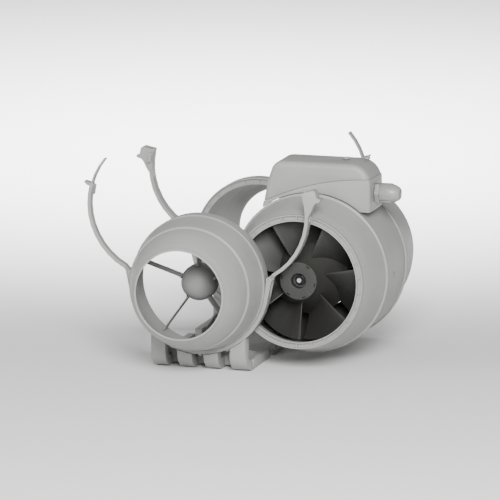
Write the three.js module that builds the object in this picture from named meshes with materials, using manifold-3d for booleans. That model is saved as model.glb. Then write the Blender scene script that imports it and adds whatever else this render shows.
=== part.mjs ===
// Mixed-flow inline duct fan for a 100 mm duct, opened for service.
// A cradle (bracket, two spigots, clamp collars) stays screwed down, and the fan unit
// (three casings, stator, motor, impeller, terminal box) is drawn out of it sideways.
// Millimetres, +Z up, +Y along the duct, origin at the centre of the bracket's underside.
import * as THREE from 'three';
import { mergeVertices } from 'three/addons/utils/BufferGeometryUtils.js';
import Module from 'manifold-3d';

// ---- driving dimensions -------------------------------------------------------------
const axisHeight = 96; // duct axis above the mounting surface
const unitLength = 210; // fan unit, end to end
const endClearance = 0.5; // between the fan unit and each spigot
const fit = 0.3; // gap between pieces that touch
const wall = 2.5; // moulded walls

const rimRadius = 73; // the fan unit's end rims
const throatRadius = 65.7; // the fan unit's open ends
const bulgeRadius = 86.7; // the two ridges round the middle
const frontRidge = 55; // ridge positions, from the unit's inlet
const rearRidge = 132;
const pullOut = 105; // how far the unit is drawn out sideways
const liftOut = 3.6; // and how far it rises as it comes

const mouthRadius = 49.4; // outside of a spigot's mouth
const flangeRadius = 74; // a spigot's flange
const flangeWidth = 16;
const spigotLength = 86;

const collarThickness = 4;
const pinRadius = 1.2; // hinge pins of the clamp arms
const knuckleRadius = 3.2;
const hingeHeight = 7; // hinge pins above the duct axis
// how far each arm stands open
const openAngles = { front_left: 72, front_right: 69, rear_left: 74, rear_right: 70 };

const bracketLeft = -53;
const bracketRight = 55;
const legWidth = 16;
const legPitch = 29.4;
const legCount = 4;
const legThickness = 15;
const legCornerRadius = 20;
const railHeight = 10.4;
const floorThickness = 4;

const bladeCount = 7;
const vaneCount = 5; // flow straightener in the front spigot
const statorVaneCount = 9;
const shaftRadius = 3;
const hubRadius = 20.5; // impeller's front disc
const motorRadius = 40;

const boxDepth = 52; // terminal box, along the duct
const boxStart = 56; // its front face, from the unit's inlet
const boxTop = 119.5; // its top above the duct axis
const boxRight = 64.7;
const boxLeft = -55.5;
const boxUnder = 68.3; // underside, where it stands clear of the barrel
const glandHeight = 86; // cable gland's axis above the duct axis
const glandRadius = 10.7;

// ---- derived places -----------------------------------------------------------------
const joint = unitLength / 2 + endClearance; // spigot flange faces at y = +-joint
const inlet = -unitLength / 2; // the unit's inlet plane
const flangeEnd = joint + flangeWidth;
const collarInner = flangeRadius + fit + 0.1;
const collarOuter = collarInner + collarThickness;
const hingeX = collarInner + knuckleRadius + 0.9;
const lipReach = joint - 4; // lips lap the unit's rim as far as this
const ductSteps = 40; // facets round a turned piece

const wasm = await Module();
wasm.setup();

// ---- materials ----------------------------------------------------------------------
const finish = (color, roughness, metalness = 0) =>
  new THREE.MeshStandardMaterial({ color, roughness, metalness });
const greyPlastic = finish(0xb2b2b0, 0.45);
const darkPlastic = finish(0x45443f, 0.4);
const blackPlastic = finish(0x2b2b2b, 0.5);
const glandPlastic = finish(0xa9a9a9, 0.4);
const rubber = finish(0x303030, 0.8);
const steel = finish(0xc8c8c8, 0.3, 0.9);
const zinc = finish(0x9a9a9c, 0.45, 0.7);
const darkSteel = finish(0x3a3a3c, 0.5, 0.7);

// ---- making solids ------------------------------------------------------------------
// A closed geometry as a manifold solid, turned to face out.
function solid(geometry) {
  const plain = geometry.index ? geometry.toNonIndexed() : geometry.clone();
  plain.deleteAttribute('normal');
  plain.deleteAttribute('uv');
  const merged = mergeVertices(plain, 1e-4);
  const source = merged.index.array;
  const kept = [];
  for (let i = 0; i < source.length; i += 3) {
    const [a, b, c] = [source[i], source[i + 1], source[i + 2]];
    if (a !== b && b !== c && c !== a) kept.push(a, b, c);
  }
  const vertProperties = merged.attributes.position.array;
  const make = (triVerts) =>
    new wasm.Manifold(new wasm.Mesh({ numProp: 3, vertProperties, triVerts }));
  const first = make(new Uint32Array(kept));
  return first.volume() > 0 ? first : make(new Uint32Array(kept.reverse()));
}

const join = (...parts) => parts.reduce((whole, part) => whole.add(part));
const cut = (body, ...tools) => tools.reduce((rest, tool) => rest.subtract(tool), body);

// A piece turned about the duct axis from its closed [radius, y] outline.
function turned(outline, steps = ductSteps) {
  const points = outline.map(([r, y]) => new THREE.Vector2(r, y));
  const onAxis = outline[0][0] === 0;
  if (!onAxis) points.push(points[0].clone());
  return solid(new THREE.LatheGeometry(points, steps));
}

const ring = (inner, outer, y0, y1, steps) =>
  turned([[inner, y0], [outer, y0], [outer, y1], [inner, y1]], steps);
const disc = (radius, y0, y1, steps) =>
  turned([[0, y0], [radius, y0], [radius, y1], [0, y1]], steps);

const degrees = (a) => (a * Math.PI) / 180;
const polar = (r, a) => [r * Math.cos(degrees(a)), r * Math.sin(degrees(a))];

function outlineOf(points) {
  return new THREE.Shape(points.map(([a, b]) => new THREE.Vector2(a, b)));
}

// A flat shape drawn in x and z, given its thickness along y.
function acrossDuct(shape, y0, y1) {
  const geometry = new THREE.ExtrudeGeometry(shape, {
    depth: y1 - y0, bevelEnabled: false, curveSegments: 6,
  });
  const axes = [new THREE.Vector3(1, 0, 0), new THREE.Vector3(0, 0, 1), new THREE.Vector3(0, -1, 0)];
  geometry.applyMatrix4(new THREE.Matrix4().makeBasis(...axes)).translate(0, y1, 0);
  return solid(geometry);
}

// A flat shape drawn in y and z, given its thickness along x. Its right face can be
// pushed outwards by an amount that depends on the height.
function alongDuct(shape, x0, x1, spreadAt = () => 0) {
  const geometry = new THREE.ExtrudeGeometry(shape, {
    depth: x1 - x0, bevelEnabled: false, curveSegments: 6,
  });
  const axes = [new THREE.Vector3(0, 1, 0), new THREE.Vector3(0, 0, 1), new THREE.Vector3(1, 0, 0)];
  geometry.applyMatrix4(new THREE.Matrix4().makeBasis(...axes)).translate(x0, 0, 0);
  const at = geometry.getAttribute('position');
  for (let i = 0; i < at.count; i += 1) {
    if (at.getX(i) > (x0 + x1) / 2) at.setX(i, at.getX(i) + spreadAt(at.getZ(i)));
  }
  return solid(geometry);
}

function block(x0, x1, y0, y1, z0, z1) {
  const box = new THREE.BoxGeometry(x1 - x0, y1 - y0, z1 - z0);
  return solid(box.translate((x0 + x1) / 2, (y0 + y1) / 2, (z0 + z1) / 2));
}

// A rod with its axis along y, through (x, z).
function rodAlongY(x, z, radius, y0, y1, steps = 20) {
  const rod = new THREE.CylinderGeometry(radius, radius, y1 - y0, steps);
  return solid(rod.translate(x, (y0 + y1) / 2, z));
}

// A turned piece on the x axis at height z and place y: outline of [radius, x].
function turnedAlongX(outline, y, z, steps = 24) {
  return turned(outline, steps).rotate([0, 0, -90]).translate([0, y, z]);
}

// Part of a ring between two angles, seen along the duct.
function arcBand(inner, outer, from, to, y0, y1) {
  const count = Math.max(2, Math.round((to - from) / 9));
  const angle = (i) => from + ((to - from) * i) / count;
  const points = [];
  for (let i = 0; i <= count; i += 1) points.push(polar(outer, angle(i)));
  for (let i = count; i >= 0; i -= 1) points.push(polar(inner, angle(i)));
  return acrossDuct(outlineOf(points), y0, y1);
}

// ---- the scene graph ----------------------------------------------------------------
const fan = new THREE.Group();
const cradle = new THREE.Group();
cradle.position.z = axisHeight;
const unit = new THREE.Group();
unit.position.set(pullOut, 0, axisHeight + liftOut);
fan.add(cradle, unit);

function place(name, body, material, group) {
  const { vertProperties, triVerts, numProp } = body.getMesh();
  if (numProp !== 3) throw new Error(`${name} carries extra properties`);
  const geometry = new THREE.BufferGeometry();
  geometry.setAttribute('position', new THREE.BufferAttribute(new Float32Array(vertProperties), 3));
  geometry.setIndex(new THREE.BufferAttribute(new Uint32Array(triVerts), 1));
  geometry.computeVertexNormals();
  const mesh = new THREE.Mesh(geometry, material);
  mesh.name = name;
  group.add(mesh);
  return mesh;
}

// ---- spigots ------------------------------------------------------------------------
// The outside falls from the flange over a small step to the mouth; the wall follows it.
const flangeBore = flangeRadius - 7.5;
const stepAt = 49; // the small step, from the flange face
function spigotOutline() {
  const f = flangeRadius;
  const m = mouthRadius;
  const outside = [
    [f, 0], [f, flangeWidth], [f - 2.8, 32], [f - 6.8, stepAt - 1.4], [f - 8.6, stepAt],
    [f - 12.2, stepAt + 14], [f - 18.4, stepAt + 26], [m, spigotLength],
  ];
  const inside = [
    [m - wall, spigotLength], [f - 21.4, stepAt + 25], [f - 15, stepAt + 12],
    [f - 9.5, 36], [flangeBore, 18], [flangeBore, 0],
  ];
  return [...outside, ...inside].map(([r, s]) => [r, -joint - s]);
}
const screwAngles = [270 - 23.3, 270, 270 + 23.3]; // between the bracket's legs
const screwY = -(joint + flangeWidth / 2);

// A radial piece standing at an angle round the duct, drawn from [radius, x] points.
function radialPin(outline, angle, y) {
  return turnedAlongX(outline, 0, 0, 10).rotate([0, -angle, 0]).translate([0, y, 0]);
}
const screwHole = (angle) => radialPin([
  [0, flangeBore - 2], [1.9, flangeBore - 2], [1.9, collarOuter + 1], [0, collarOuter + 1],
], angle, screwY);
const collarScrew = (angle) => radialPin([
  [0, flangeBore + 0.6], [1.6, flangeBore + 0.6], [1.6, collarOuter + fit],
  [3.4, collarOuter + fit], [3.4, collarOuter + 1.6], [2.2, collarOuter + 2.4],
  [0, collarOuter + 2.4],
], angle, screwY);

const screwHoles = screwAngles.map(screwHole);
const frontSpigot = cut(turned(spigotOutline()), ...screwHoles);
const toRear = (body) => body.rotate([0, 0, 180]); // the rear end is the front turned round
place('front_spigot', frontSpigot, greyPlastic, cradle);
place('rear_spigot', toRear(frontSpigot), greyPlastic, cradle);

// ---- flow straightener --------------------------------------------------------------
// A dome-nosed hub held in the front spigot by thin straight vanes.
const straightenerPlane = -(flangeEnd - 5);
const straightenerHub = 19.7;
const vaneChord = 16;
const noseLength = 18;

function straightener() {
  const dome = [];
  for (let i = 0; i <= 4; i += 1) {
    const [r, depth] = polar(1, i * 22.5);
    dome.push([straightenerHub * r, straightenerPlane - noseLength * depth]);
  }
  dome[4][0] = 0;
  const back = straightenerPlane + vaneChord / 2;
  const shell = wall - 0.5;
  const inside = dome.map(([r, y]) => [Math.max(0, r - shell), y + shell * 0.9]).reverse();
  inside[0][0] = 0;
  const hub = turned([...dome.slice().reverse(), [straightenerHub, back],
    [straightenerHub - shell, back], ...inside.slice().reverse()], 20);
  const vanes = [];
  for (let i = 0; i < vaneCount; i += 1) {
    const blank = block(straightenerHub - 1, flangeRadius, straightenerPlane - vaneChord / 2,
      straightenerPlane + vaneChord / 2, -0.8, 0.8);
    vanes.push(blank.rotate([0, -(18 + (360 / vaneCount) * i), 0]));
  }
  const bore = flangeBore - fit - 1.2;
  return join(hub, ...vanes.map((vane) => vane.intersect(disc(bore, -200, 0))));
}
const straightenerPads = ring(flangeBore - fit - 1.4, flangeBore - fit,
  straightenerPlane - vaneChord / 2, straightenerPlane + vaneChord / 2);
place('flow_straightener', join(straightener(), straightenerPads), greyPlastic, cradle);

// ---- clamp collars ------------------------------------------------------------------
const collarStart = joint + 1.7; // the collar band covers the flange, short of the joint
const collarEnd = flangeEnd - 1.7;
const lugWidth = 3;
const knuckleStart = collarStart + lugWidth + fit;
const knuckleEnd = collarEnd - lugWidth - fit;
const clampMiddle = (collarStart + collarEnd) / 2;

function hingeLug(side, y0, y1) {
  const tail = [polar(collarOuter, -10), polar(collarInner + 0.2, -10)];
  const arm = acrossDuct(outlineOf([
    [hingeX - knuckleRadius + 0.2, hingeHeight], ...tail.reverse(),
    [hingeX + knuckleRadius - 0.2, hingeHeight],
  ]), y0, y1);
  const eye = rodAlongY(hingeX, hingeHeight, knuckleRadius, y0, y1);
  const lug = join(eye, arm);
  return side > 0 ? lug : lug.mirror([1, 0, 0]);
}

function lowerCollar() {
  const band = arcBand(collarInner, collarOuter, 184, 356, -collarEnd, -collarStart);
  const lip = arcBand(collarInner, collarOuter, 186, 268, -collarStart - 1, -lipReach);
  const lugs = [1, -1].flatMap((side) => [
    hingeLug(side, -collarEnd, -collarEnd + lugWidth),
    hingeLug(side, -collarStart - lugWidth, -collarStart),
  ]);
  const holes = [1, -1].map((side) =>
    rodAlongY(side * hingeX, hingeHeight, pinRadius + 0.05, -flangeEnd, -joint));
  return cut(join(band, lip, ...lugs), ...holes, ...screwHoles);
}
// The rear collar is the mirror image, so that its lip is on the same side of the unit.
const mirrored = (body) => body.mirror([0, 1, 0]);
const frontCollar = lowerCollar();
place('front_lower_collar', frontCollar, greyPlastic, cradle);
place('rear_lower_collar', mirrored(frontCollar), greyPlastic, cradle);
screwAngles.forEach((angle, i) => {
  place(`front_collar_screw_${i + 1}`, collarScrew(angle), zinc, cradle);
  place(`rear_collar_screw_${i + 1}`, mirrored(collarScrew(angle)), zinc, cradle);
});

// ---- clamp arms ---------------------------------------------------------------------
// Drawn closed, on the right: hinge at the side, tip at the top. The receiver arm ends in
// a slotted box head, the blade arm in a stop plate and a tongue that enters the slot.
const armInner = collarInner;
const armOuter = collarInner + 3.6;
const armFoot = 9.5; // the band starts at this angle, clear of the lugs
const armTip = 88.6;
const receiverWidth = 12.4;
const bladeWidth = 8.6;
const tongueThickness = 1.8;
const tongueStart = armInner + 1;
const tongueTip = 112; // the tongue follows the ring as far as this angle
const tongueHalf = 4.1; // half its width, and half the slot's
const slotHalf = 4.9;
const headHeight = 11.4;

function clampArm(kind) {
  const width = kind === 'receiver' ? receiverWidth : bladeWidth;
  const y0 = -clampMiddle - width / 2;
  const y1 = -clampMiddle + width / 2;
  const k0 = -knuckleEnd;
  const k1 = -knuckleStart;
  const neck = acrossDuct(outlineOf([
    [hingeX - knuckleRadius + 0.6, hingeHeight + 0.4], [hingeX + 2.6, hingeHeight + 2],
    polar(armOuter, armFoot + 1), polar(armInner, armFoot + 1),
  ]), k0, k1);
  const eye = rodAlongY(hingeX, hingeHeight, knuckleRadius, k0, k1);
  const band = arcBand(armInner, armOuter, armFoot, armTip, y0, y1);
  const claw = arcBand(armInner, armOuter, 78, 86, y1 - 1, -lipReach);
  const pieces = [neck, eye, band, claw];
  const holes = [rodAlongY(hingeX, hingeHeight, pinRadius + 0.05, k0 - 1, k1 + 1)];
  const tipX = polar(armOuter, armTip)[0];
  if (kind === 'receiver') {
    const top = armOuter + headHeight;
    pieces.push(acrossDuct(outlineOf([
      [tipX, armInner + 0.2], [tipX + 0.8, top - 2], [tipX + 2.6, top], [tipX + 10.4, top - 0.6],
      [tipX + 12.6, top + 2.6], [tipX + 14.6, top + 1.4], [tipX + 15, top - 4.4],
      [tipX + 17.4, armOuter + 3.8], [tipX + 21, armOuter + 0.6], [tipX + 26, armOuter - 4.7],
      [tipX + 25.4, armInner - 3.6],
    ]), y0, y1));
    holes.push(arcBand(armInner - 5, armInner, 60, 95, y0 - 1, y1 + 1));
    holes.push(arcBand(armInner - 1, armInner + 4.6, 64, 95, -clampMiddle - slotHalf,
      -clampMiddle + slotHalf));
  } else {
    pieces.push(acrossDuct(outlineOf([
      [tipX, armInner], [tipX + 0.2, armOuter + 6.4], [tipX + 1.2, armOuter + 6.8],
      [tipX + 3.4, armOuter + 3], [tipX + 3.4, armInner],
    ]), y0, y1));
    pieces.push(arcBand(tongueStart, tongueStart + tongueThickness, armTip - 1, tongueTip,
      -clampMiddle - tongueHalf, -clampMiddle + tongueHalf));
  }
  return cut(join(...pieces), ...holes);
}

// Turns a closed right-hand arm to its open place, then puts it on its side and end.
function openArm(kind, side, end, angle) {
  let arm = clampArm(kind).translate([-hingeX, 0, -hingeHeight]);
  arm = arm.rotate([0, angle, 0]).translate([hingeX, 0, hingeHeight]);
  if (side < 0) arm = arm.mirror([1, 0, 0]);
  return end < 0 ? arm : mirrored(arm);
}
for (const [name, kind, side, end] of [
  ['front_right_arm', 'receiver', 1, -1], ['front_left_arm', 'blade', -1, -1],
  ['rear_right_arm', 'blade', 1, 1], ['rear_left_arm', 'receiver', -1, 1],
]) {
  const angle = openAngles[name.replace('_arm', '')];
  place(name, openArm(kind, side, end, angle), greyPlastic, cradle);
  const pin = rodAlongY(side * hingeX, hingeHeight, pinRadius, -collarEnd + 0.4, -collarStart);
  place(name.replace('arm', 'hinge_pin'), end < 0 ? pin : mirrored(pin), steel, cradle);
}

// ---- base bracket -------------------------------------------------------------------
// J-shaped legs at both ends under the collars, side rails, a floor and cross walls.
const bracketEnd = flangeEnd;
function legOutline(footEnd) {
  const r = legCornerRadius;
  const inner = bracketEnd - legThickness;
  const points = [[-inner, axisHeight], [-bracketEnd, axisHeight]];
  for (let i = 0; i <= 5; i += 1) {
    const [c, s] = polar(r, 180 + i * 18);
    points.push([-bracketEnd + r + c, r + s]);
  }
  points.push([-footEnd, 0], [-footEnd, railHeight], [-inner + 4, railHeight],
    [-inner + 1.2, railHeight + 1.2], [-inner, railHeight + 4]);
  return outlineOf(points);
}
const railWidth = 8;
const wallSetback = 28; // the end walls and the floor start this far behind the legs' fronts
const wallTop = 17;
const inletClear = 100;
const flareWidth = bracketRight - (bracketLeft + (legCount - 1) * legPitch + legWidth);
const notchStart = 14; // the rails are cut down between these distances from the middle
const notchEnd = 38;

// The right-hand leg spreads sideways at its foot to meet the rail.
const spreadTop = 34;
const legSpread = (z) => flareWidth * Math.pow(Math.max(0, 1 - z / spreadTop), 1.5);

function baseBracket() {
  const end = [];
  const footEnd = bracketEnd - legThickness - 16;
  for (let i = 0; i < legCount; i += 1) {
    const x0 = bracketLeft + i * legPitch;
    const spread = i < legCount - 1 ? undefined : legSpread;
    end.push(alongDuct(legOutline(footEnd), x0, x0 + legWidth, spread));
  }
  const wallFront = bracketEnd - wallSetback;
  const x0 = bracketLeft + 1;
  const x1 = bracketRight - 1;
  end.push(block(x0, x1, -wallFront, -wallFront + wall, 1.5, railHeight - 1));
  end.push(block(x0 + railWidth, x1 - railWidth, -wallFront, -wallFront + wall, 1.5, wallTop));
  end.push(block(x0, x1, -wallFront, -wallFront + 14, 1.5, floorThickness));
  // longitudinal walls just inside the rails, which stay below the fan unit's cone
  const cheek = outlineOf([[-bracketEnd + legThickness - 2, 3],
    [-bracketEnd + legThickness - 2, 22], [-inletClear, 21], [-85, 17.6], [-70, 13.4],
    [-53, railHeight], [-53, 3]]);
  end.push(alongDuct(cheek, bracketLeft + railWidth - 1, bracketLeft + railWidth + 1.5));
  end.push(alongDuct(cheek, bracketRight - railWidth - 1.5, bracketRight - railWidth + 1));
  const pieces = [...end, ...end.map((piece) => piece.mirror([0, 1, 0]))];
  pieces.push(block(x0, x1, -wallFront + 12, wallFront - 12, 0, floorThickness));
  const cutters = [];
  for (const low of [bracketLeft, bracketRight - railWidth]) {
    const high = low + railWidth;
    pieces.push(block(low, high, -footEnd - 6, footEnd + 6, 0, railHeight));
    for (const notch of [notchStart, -notchEnd]) {
      const length = notchEnd - notchStart;
      cutters.push(block(low - 1, high + 1, notch, notch + length, floorThickness, railHeight + 1));
      cutters.push(block(low - 1, high + 1, notch + 4, notch + 16, -1, floorThickness + 1));
    }
  }
  for (const x of [-28, 28]) {
    for (const y of [-70, 70]) {
      cutters.push(block(x - 2.6, x + 2.6, y - 6, y + 6, -1, floorThickness + 1));
    }
  }
  const saddle = rodAlongY(0, axisHeight, collarOuter + fit, -bracketEnd - 1, bracketEnd + 1, ductSteps);
  const headRoom = screwAngles.flatMap((angle) => {
    const [x, z] = polar(collarOuter + 1, angle);
    const room = rodAlongY(x, axisHeight + z, 4.4, -bracketEnd - 1, -joint);
    return [room, mirrored(room)];
  });
  return cut(join(...pieces), saddle, ...cutters, ...headRoom);
}
place('base_bracket', baseBracket().translate([0, 0, -axisHeight]), greyPlastic, cradle);

// ---- fan unit casings ---------------------------------------------------------------
// Outlines are [radius, distance from the inlet].
const fromInlet = (outline) => outline.map(([r, u]) => [r, inlet + u]);
const coneFoot = rimRadius + 0.4;
const rimWidth = 6;
const ridgeFoot = bulgeRadius - 2.3;
const bandRadius = bulgeRadius - 1.5;

function endCasing(ridge) {
  const outside = [[rimRadius, 0], [rimRadius, rimWidth], [coneFoot, rimWidth + 1],
    [rimRadius + 8, ridge - 20], [ridgeFoot, ridge - 3],
    [bulgeRadius, ridge - 1.6], [bulgeRadius, ridge + 2]];
  const inside = [[ridgeFoot - wall, ridge + 2], [ridgeFoot - wall - 1, ridge - 6],
    [rimRadius + 4.6, ridge - 20], [throatRadius + 1, rimWidth + 1], [throatRadius, 0]];
  return turned(fromInlet([...outside, ...inside]));
}
const bandStart = frontRidge + 2 + fit;
const bandEnd = rearRidge - 2 - fit;
place('front_casing', endCasing(frontRidge), greyPlastic, unit);
place('rear_casing', mirrored(endCasing(unitLength - rearRidge)), greyPlastic, unit);

const slot = block(bandRadius - 8, bandRadius + 4, inlet + 81, inlet + 88, -6, 0);
const centreCasing = ring(bandRadius - wall, bandRadius, inlet + bandStart, inlet + bandEnd);
place('centre_casing', cut(centreCasing, slot), greyPlastic, unit);

// ---- impeller -----------------------------------------------------------------------
const discPlane = 7; // impeller's front disc, from the inlet
const recessRadius = 8.2;
const recessDepth = 9;
const impellerEnd = 50;
const hubFlare = 44; // hub radius at the impeller's back
const hubShell = 2.4;

// Radius of the hub and of the casing's inside at a distance from the inlet.
const hubAt = (u) => hubRadius + (hubFlare - hubRadius) * Math.pow(
  Math.max(0, u - discPlane - 1) / (impellerEnd - discPlane - 1), 1.3);
const tipAt = (u) => throatRadius - 1.4 + (u > 10 ? (u - 10) * 0.22 : 0);

// A thin curved blade: a grid of points, given thickness round the axis.
function blade(pointAt, rows, columns, thickness) {
  const positions = [];
  const index = [];
  const at = (i, j, k) => (i * (columns + 1) + j) * 2 + k;
  for (let i = 0; i <= rows; i += 1) {
    for (let j = 0; j <= columns; j += 1) {
      const { radius, angle, u } = pointAt(i / rows, j / columns);
      for (const half of [-0.5, 0.5]) {
        const turn = angle + (half * thickness * 57.3) / radius;
        const [x, z] = polar(radius, turn);
        positions.push(x, inlet + u, z);
      }
    }
  }
  const quad = (a, b, c, d) => index.push(a, b, c, a, c, d);
  for (let i = 0; i < rows; i += 1) {
    for (let j = 0; j < columns; j += 1) {
      quad(at(i, j, 0), at(i + 1, j, 0), at(i + 1, j + 1, 0), at(i, j + 1, 0));
      quad(at(i, j, 1), at(i, j + 1, 1), at(i + 1, j + 1, 1), at(i + 1, j, 1));
    }
    quad(at(i, 0, 0), at(i, 0, 1), at(i + 1, 0, 1), at(i + 1, 0, 0));
    quad(at(i, columns, 0), at(i + 1, columns, 0), at(i + 1, columns, 1), at(i, columns, 1));
  }
  for (let j = 0; j < columns; j += 1) {
    quad(at(0, j, 0), at(0, j + 1, 0), at(0, j + 1, 1), at(0, j, 1));
    quad(at(rows, j, 0), at(rows, j, 1), at(rows, j + 1, 1), at(rows, j + 1, 0));
  }
  const geometry = new THREE.BufferGeometry();
  geometry.setAttribute('position', new THREE.Float32BufferAttribute(positions, 3));
  geometry.setIndex(index);
  return solid(geometry);
}

const bladeWrap = 52; // degrees round the axis from the leading edge to the trailing edge
function impeller() {
  const discFace = inlet + discPlane;
  const flare = [];
  const flareInside = [];
  for (let i = 0; i <= 4; i += 1) {
    const u = discPlane + 1.5 + ((impellerEnd - discPlane - 1.5) * i) / 4;
    flare.push([hubAt(u), inlet + u]);
    flareInside.push([hubAt(u) - hubShell, inlet + u + (i < 4 ? hubShell : 0)]);
  }
  const bossEnd = inlet + discPlane + 18;
  const bore = shaftRadius + 0.05;
  const hub = turned([
    [bore, discFace + recessDepth], [recessRadius, discFace + recessDepth],
    [recessRadius, discFace],
    [hubRadius - 0.8, discFace], ...flare, ...flareInside.reverse(),
    [hubRadius - 4, discFace + 7], [recessRadius + hubShell, discFace + 7],
    [recessRadius + hubShell, bossEnd], [bore, bossEnd],
  ], 32);
  const blades = [];
  for (let n = 0; n < bladeCount; n += 1) {
    blades.push(blade((s, t) => {
      const u = 9.5 + (impellerEnd - 10.5) * t;
      const radius = hubAt(u) - 1 + (tipAt(u) - hubAt(u) + 1) * s;
      return { radius, u, angle: 14 + (360 / bladeCount) * n - bladeWrap * t };
    }, 3, 4, 2.2));
  }
  return join(hub, ...blades);
}
place('impeller', impeller(), darkPlastic, unit);

const shaftEnd = inlet + 128;
const rotorStart = 74;
const rotorEnd = 104;
const shaft = rodAlongY(0, 0, shaftRadius, inlet + discPlane + 2.5, shaftEnd, 24);
place('motor_shaft', shaft, steel, unit);
const ringPlane = inlet + discPlane + recessDepth - 1.4;
place('shaft_retaining_ring', ring(shaftRadius + 0.05, shaftRadius + 2.6, ringPlane,
  ringPlane + 1.1, 24), darkSteel, unit);
place('motor_rotor', ring(shaftRadius + 0.05, 21, inlet + rotorStart, inlet + rotorEnd, 24),
  steel, unit);

// ---- motor --------------------------------------------------------------------------
const motorStart = 58;
const motorEnd = 118;
const bearingRadius = 11;
const bossRadius = bearingRadius + 3;
const runningFit = 0.08;
place('motor_housing', turned(fromInlet([
  [shaftRadius + 2, motorStart], [motorRadius - 3, motorStart], [motorRadius, motorStart + 3],
  [motorRadius, motorEnd], [motorRadius - wall, motorEnd], [motorRadius - wall, motorStart + 4],
  [bossRadius, motorStart + 4], [bossRadius, motorStart + 11], [bearingRadius + fit, motorStart + 11],
  [bearingRadius + fit, motorStart + 3], [shaftRadius + 2, motorStart + 3],
]), 28), zinc, unit);
place('motor_end_cover', turned(fromInlet([
  [shaftRadius + 2, motorEnd + 4.6], [motorRadius, motorEnd + 4.6], [motorRadius, motorEnd + fit],
  [bossRadius, motorEnd + fit], [bossRadius, motorEnd - 6], [bearingRadius + fit, motorEnd - 6],
  [bearingRadius + fit, motorEnd + 1.8], [shaftRadius + 2, motorEnd + 1.8],
]), 28), zinc, unit);
place('front_bearing', ring(shaftRadius + runningFit, bearingRadius, inlet + motorStart + 3.3,
  inlet + motorStart + 10.3, 20), steel, unit);
place('rear_bearing', ring(shaftRadius + runningFit, bearingRadius, inlet + motorEnd - 5.6,
  inlet + motorEnd + 1.4, 20), steel, unit);
place('motor_stator_core', ring(22, motorRadius - wall - fit, inlet + rotorStart - 2,
  inlet + rotorEnd + 2, 28), zinc, unit);

// ---- guide vanes --------------------------------------------------------------------
// A hub that holds the motor, a ring inside the casing, and curved vanes between them.
const hubInside = motorRadius + fit;
const hubOuter = hubInside + wall;
const vaneRing = bandRadius - wall - fit;
const vaneStart = 68;
const vaneLength = 54;
const hubBulge = 1; // how much wider the hub is in the middle of the vanes
const tailEnd = 188;
place('motor_hub', turned(fromInlet([
  [hubInside, vaneStart - 14], [hubOuter, vaneStart - 14], [hubOuter + hubBulge, 100],
  [hubOuter, vaneStart + vaneLength], [hubInside - 2, 140], [29, 166], [16, 180], [0, tailEnd],
  [0, tailEnd - wall], [14, 178], [27, 164], [hubInside - 5, 140], [hubInside, motorEnd + 6],
]).reverse(), 28), darkPlastic, unit);
place('guide_ring', ring(vaneRing - wall, vaneRing, inlet + vaneStart - 2,
  inlet + vaneStart + vaneLength + 2), darkPlastic, unit);
for (let n = 0; n < statorVaneCount; n += 1) {
  const foot = hubOuter + hubBulge + fit;
  const tip = vaneRing - wall - fit - 0.3;
  const vane = blade((s, t) => ({
    radius: foot + (tip - foot) * s,
    u: vaneStart + vaneLength * t,
    angle: (360 / statorVaneCount) * n - 26 * (1 - t) * (1 - t),
  }), 1, 4, 2);
  place(`guide_vane_${n + 1}`, vane, darkPlastic, unit);
}

// ---- terminal box -------------------------------------------------------------------
// Seen along the duct: leaning left side, rounded top corners, foot on the casing.
const leftCorner = 14;
const rightCorner = 22;
function boxOutline(inset) {
  const points = [[boxLeft + inset, boxUnder], [boxLeft + inset, 70], [-50.5 + inset, 97]];
  for (const a of [165, 140, 115, 95]) {
    const [c, s] = polar(leftCorner - inset, a);
    points.push([-33 + c, boxTop - leftCorner + s]);
  }
  for (let i = 0; i <= 5; i += 1) {
    const [c, s] = polar(rightCorner - inset, 90 - i * 18);
    points.push([boxRight - rightCorner + c, boxTop - rightCorner + s]);
  }
  points.push([boxRight - inset, boxUnder]);
  return outlineOf(points);
}
const boxFront = inlet + boxStart + 2;
const boxBack = boxFront + boxDepth;
const boxWall = 3;
const seamHeight = 103.5; // the cover's seam at the right-hand side

// Everything above the seam, which falls to the left in a shallow curve.
function aboveSeam(raise) {
  const points = [[boxRight + 5, 160], [boxRight + 5, seamHeight + raise]];
  for (let i = 0; i <= 8; i += 1) {
    const run = (i / 8) * (boxRight + 60);
    points.push([boxRight - run, seamHeight - 0.00205 * run * run + raise]);
  }
  points.push([-60, 160]);
  return acrossDuct(outlineOf(points), boxFront - 1, boxBack + 1);
}
const saddleRadius = bulgeRadius + fit;
const boxShell = cut(
  acrossDuct(boxOutline(0), boxFront, boxBack),
  rodAlongY(0, 0, saddleRadius, boxFront - 1, boxBack + 1, 48),
);
const boxCavity = cut(
  acrossDuct(boxOutline(boxWall), boxFront + boxWall, boxBack - boxWall),
  rodAlongY(0, 0, saddleRadius + boxWall, boxFront - 1, boxBack + 1, 48),
);
const glandPlace = (boxFront + boxBack) / 2;
const glandBore = 8;
const entryHole = turnedAlongX([[0, boxRight - 8], [glandBore, boxRight - 8],
  [glandBore, boxRight + 4], [0, boxRight + 4]], glandPlace, glandHeight);
const breather = turnedAlongX([[0, boxRight - 1.5], [1.4, boxRight - 1.5],
  [1.4, boxRight + 4], [0, boxRight + 4]], boxFront + 8, 96, 12);
place('terminal_box', cut(boxShell, boxCavity, aboveSeam(0), entryHole, breather),
  greyPlastic, unit);

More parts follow.
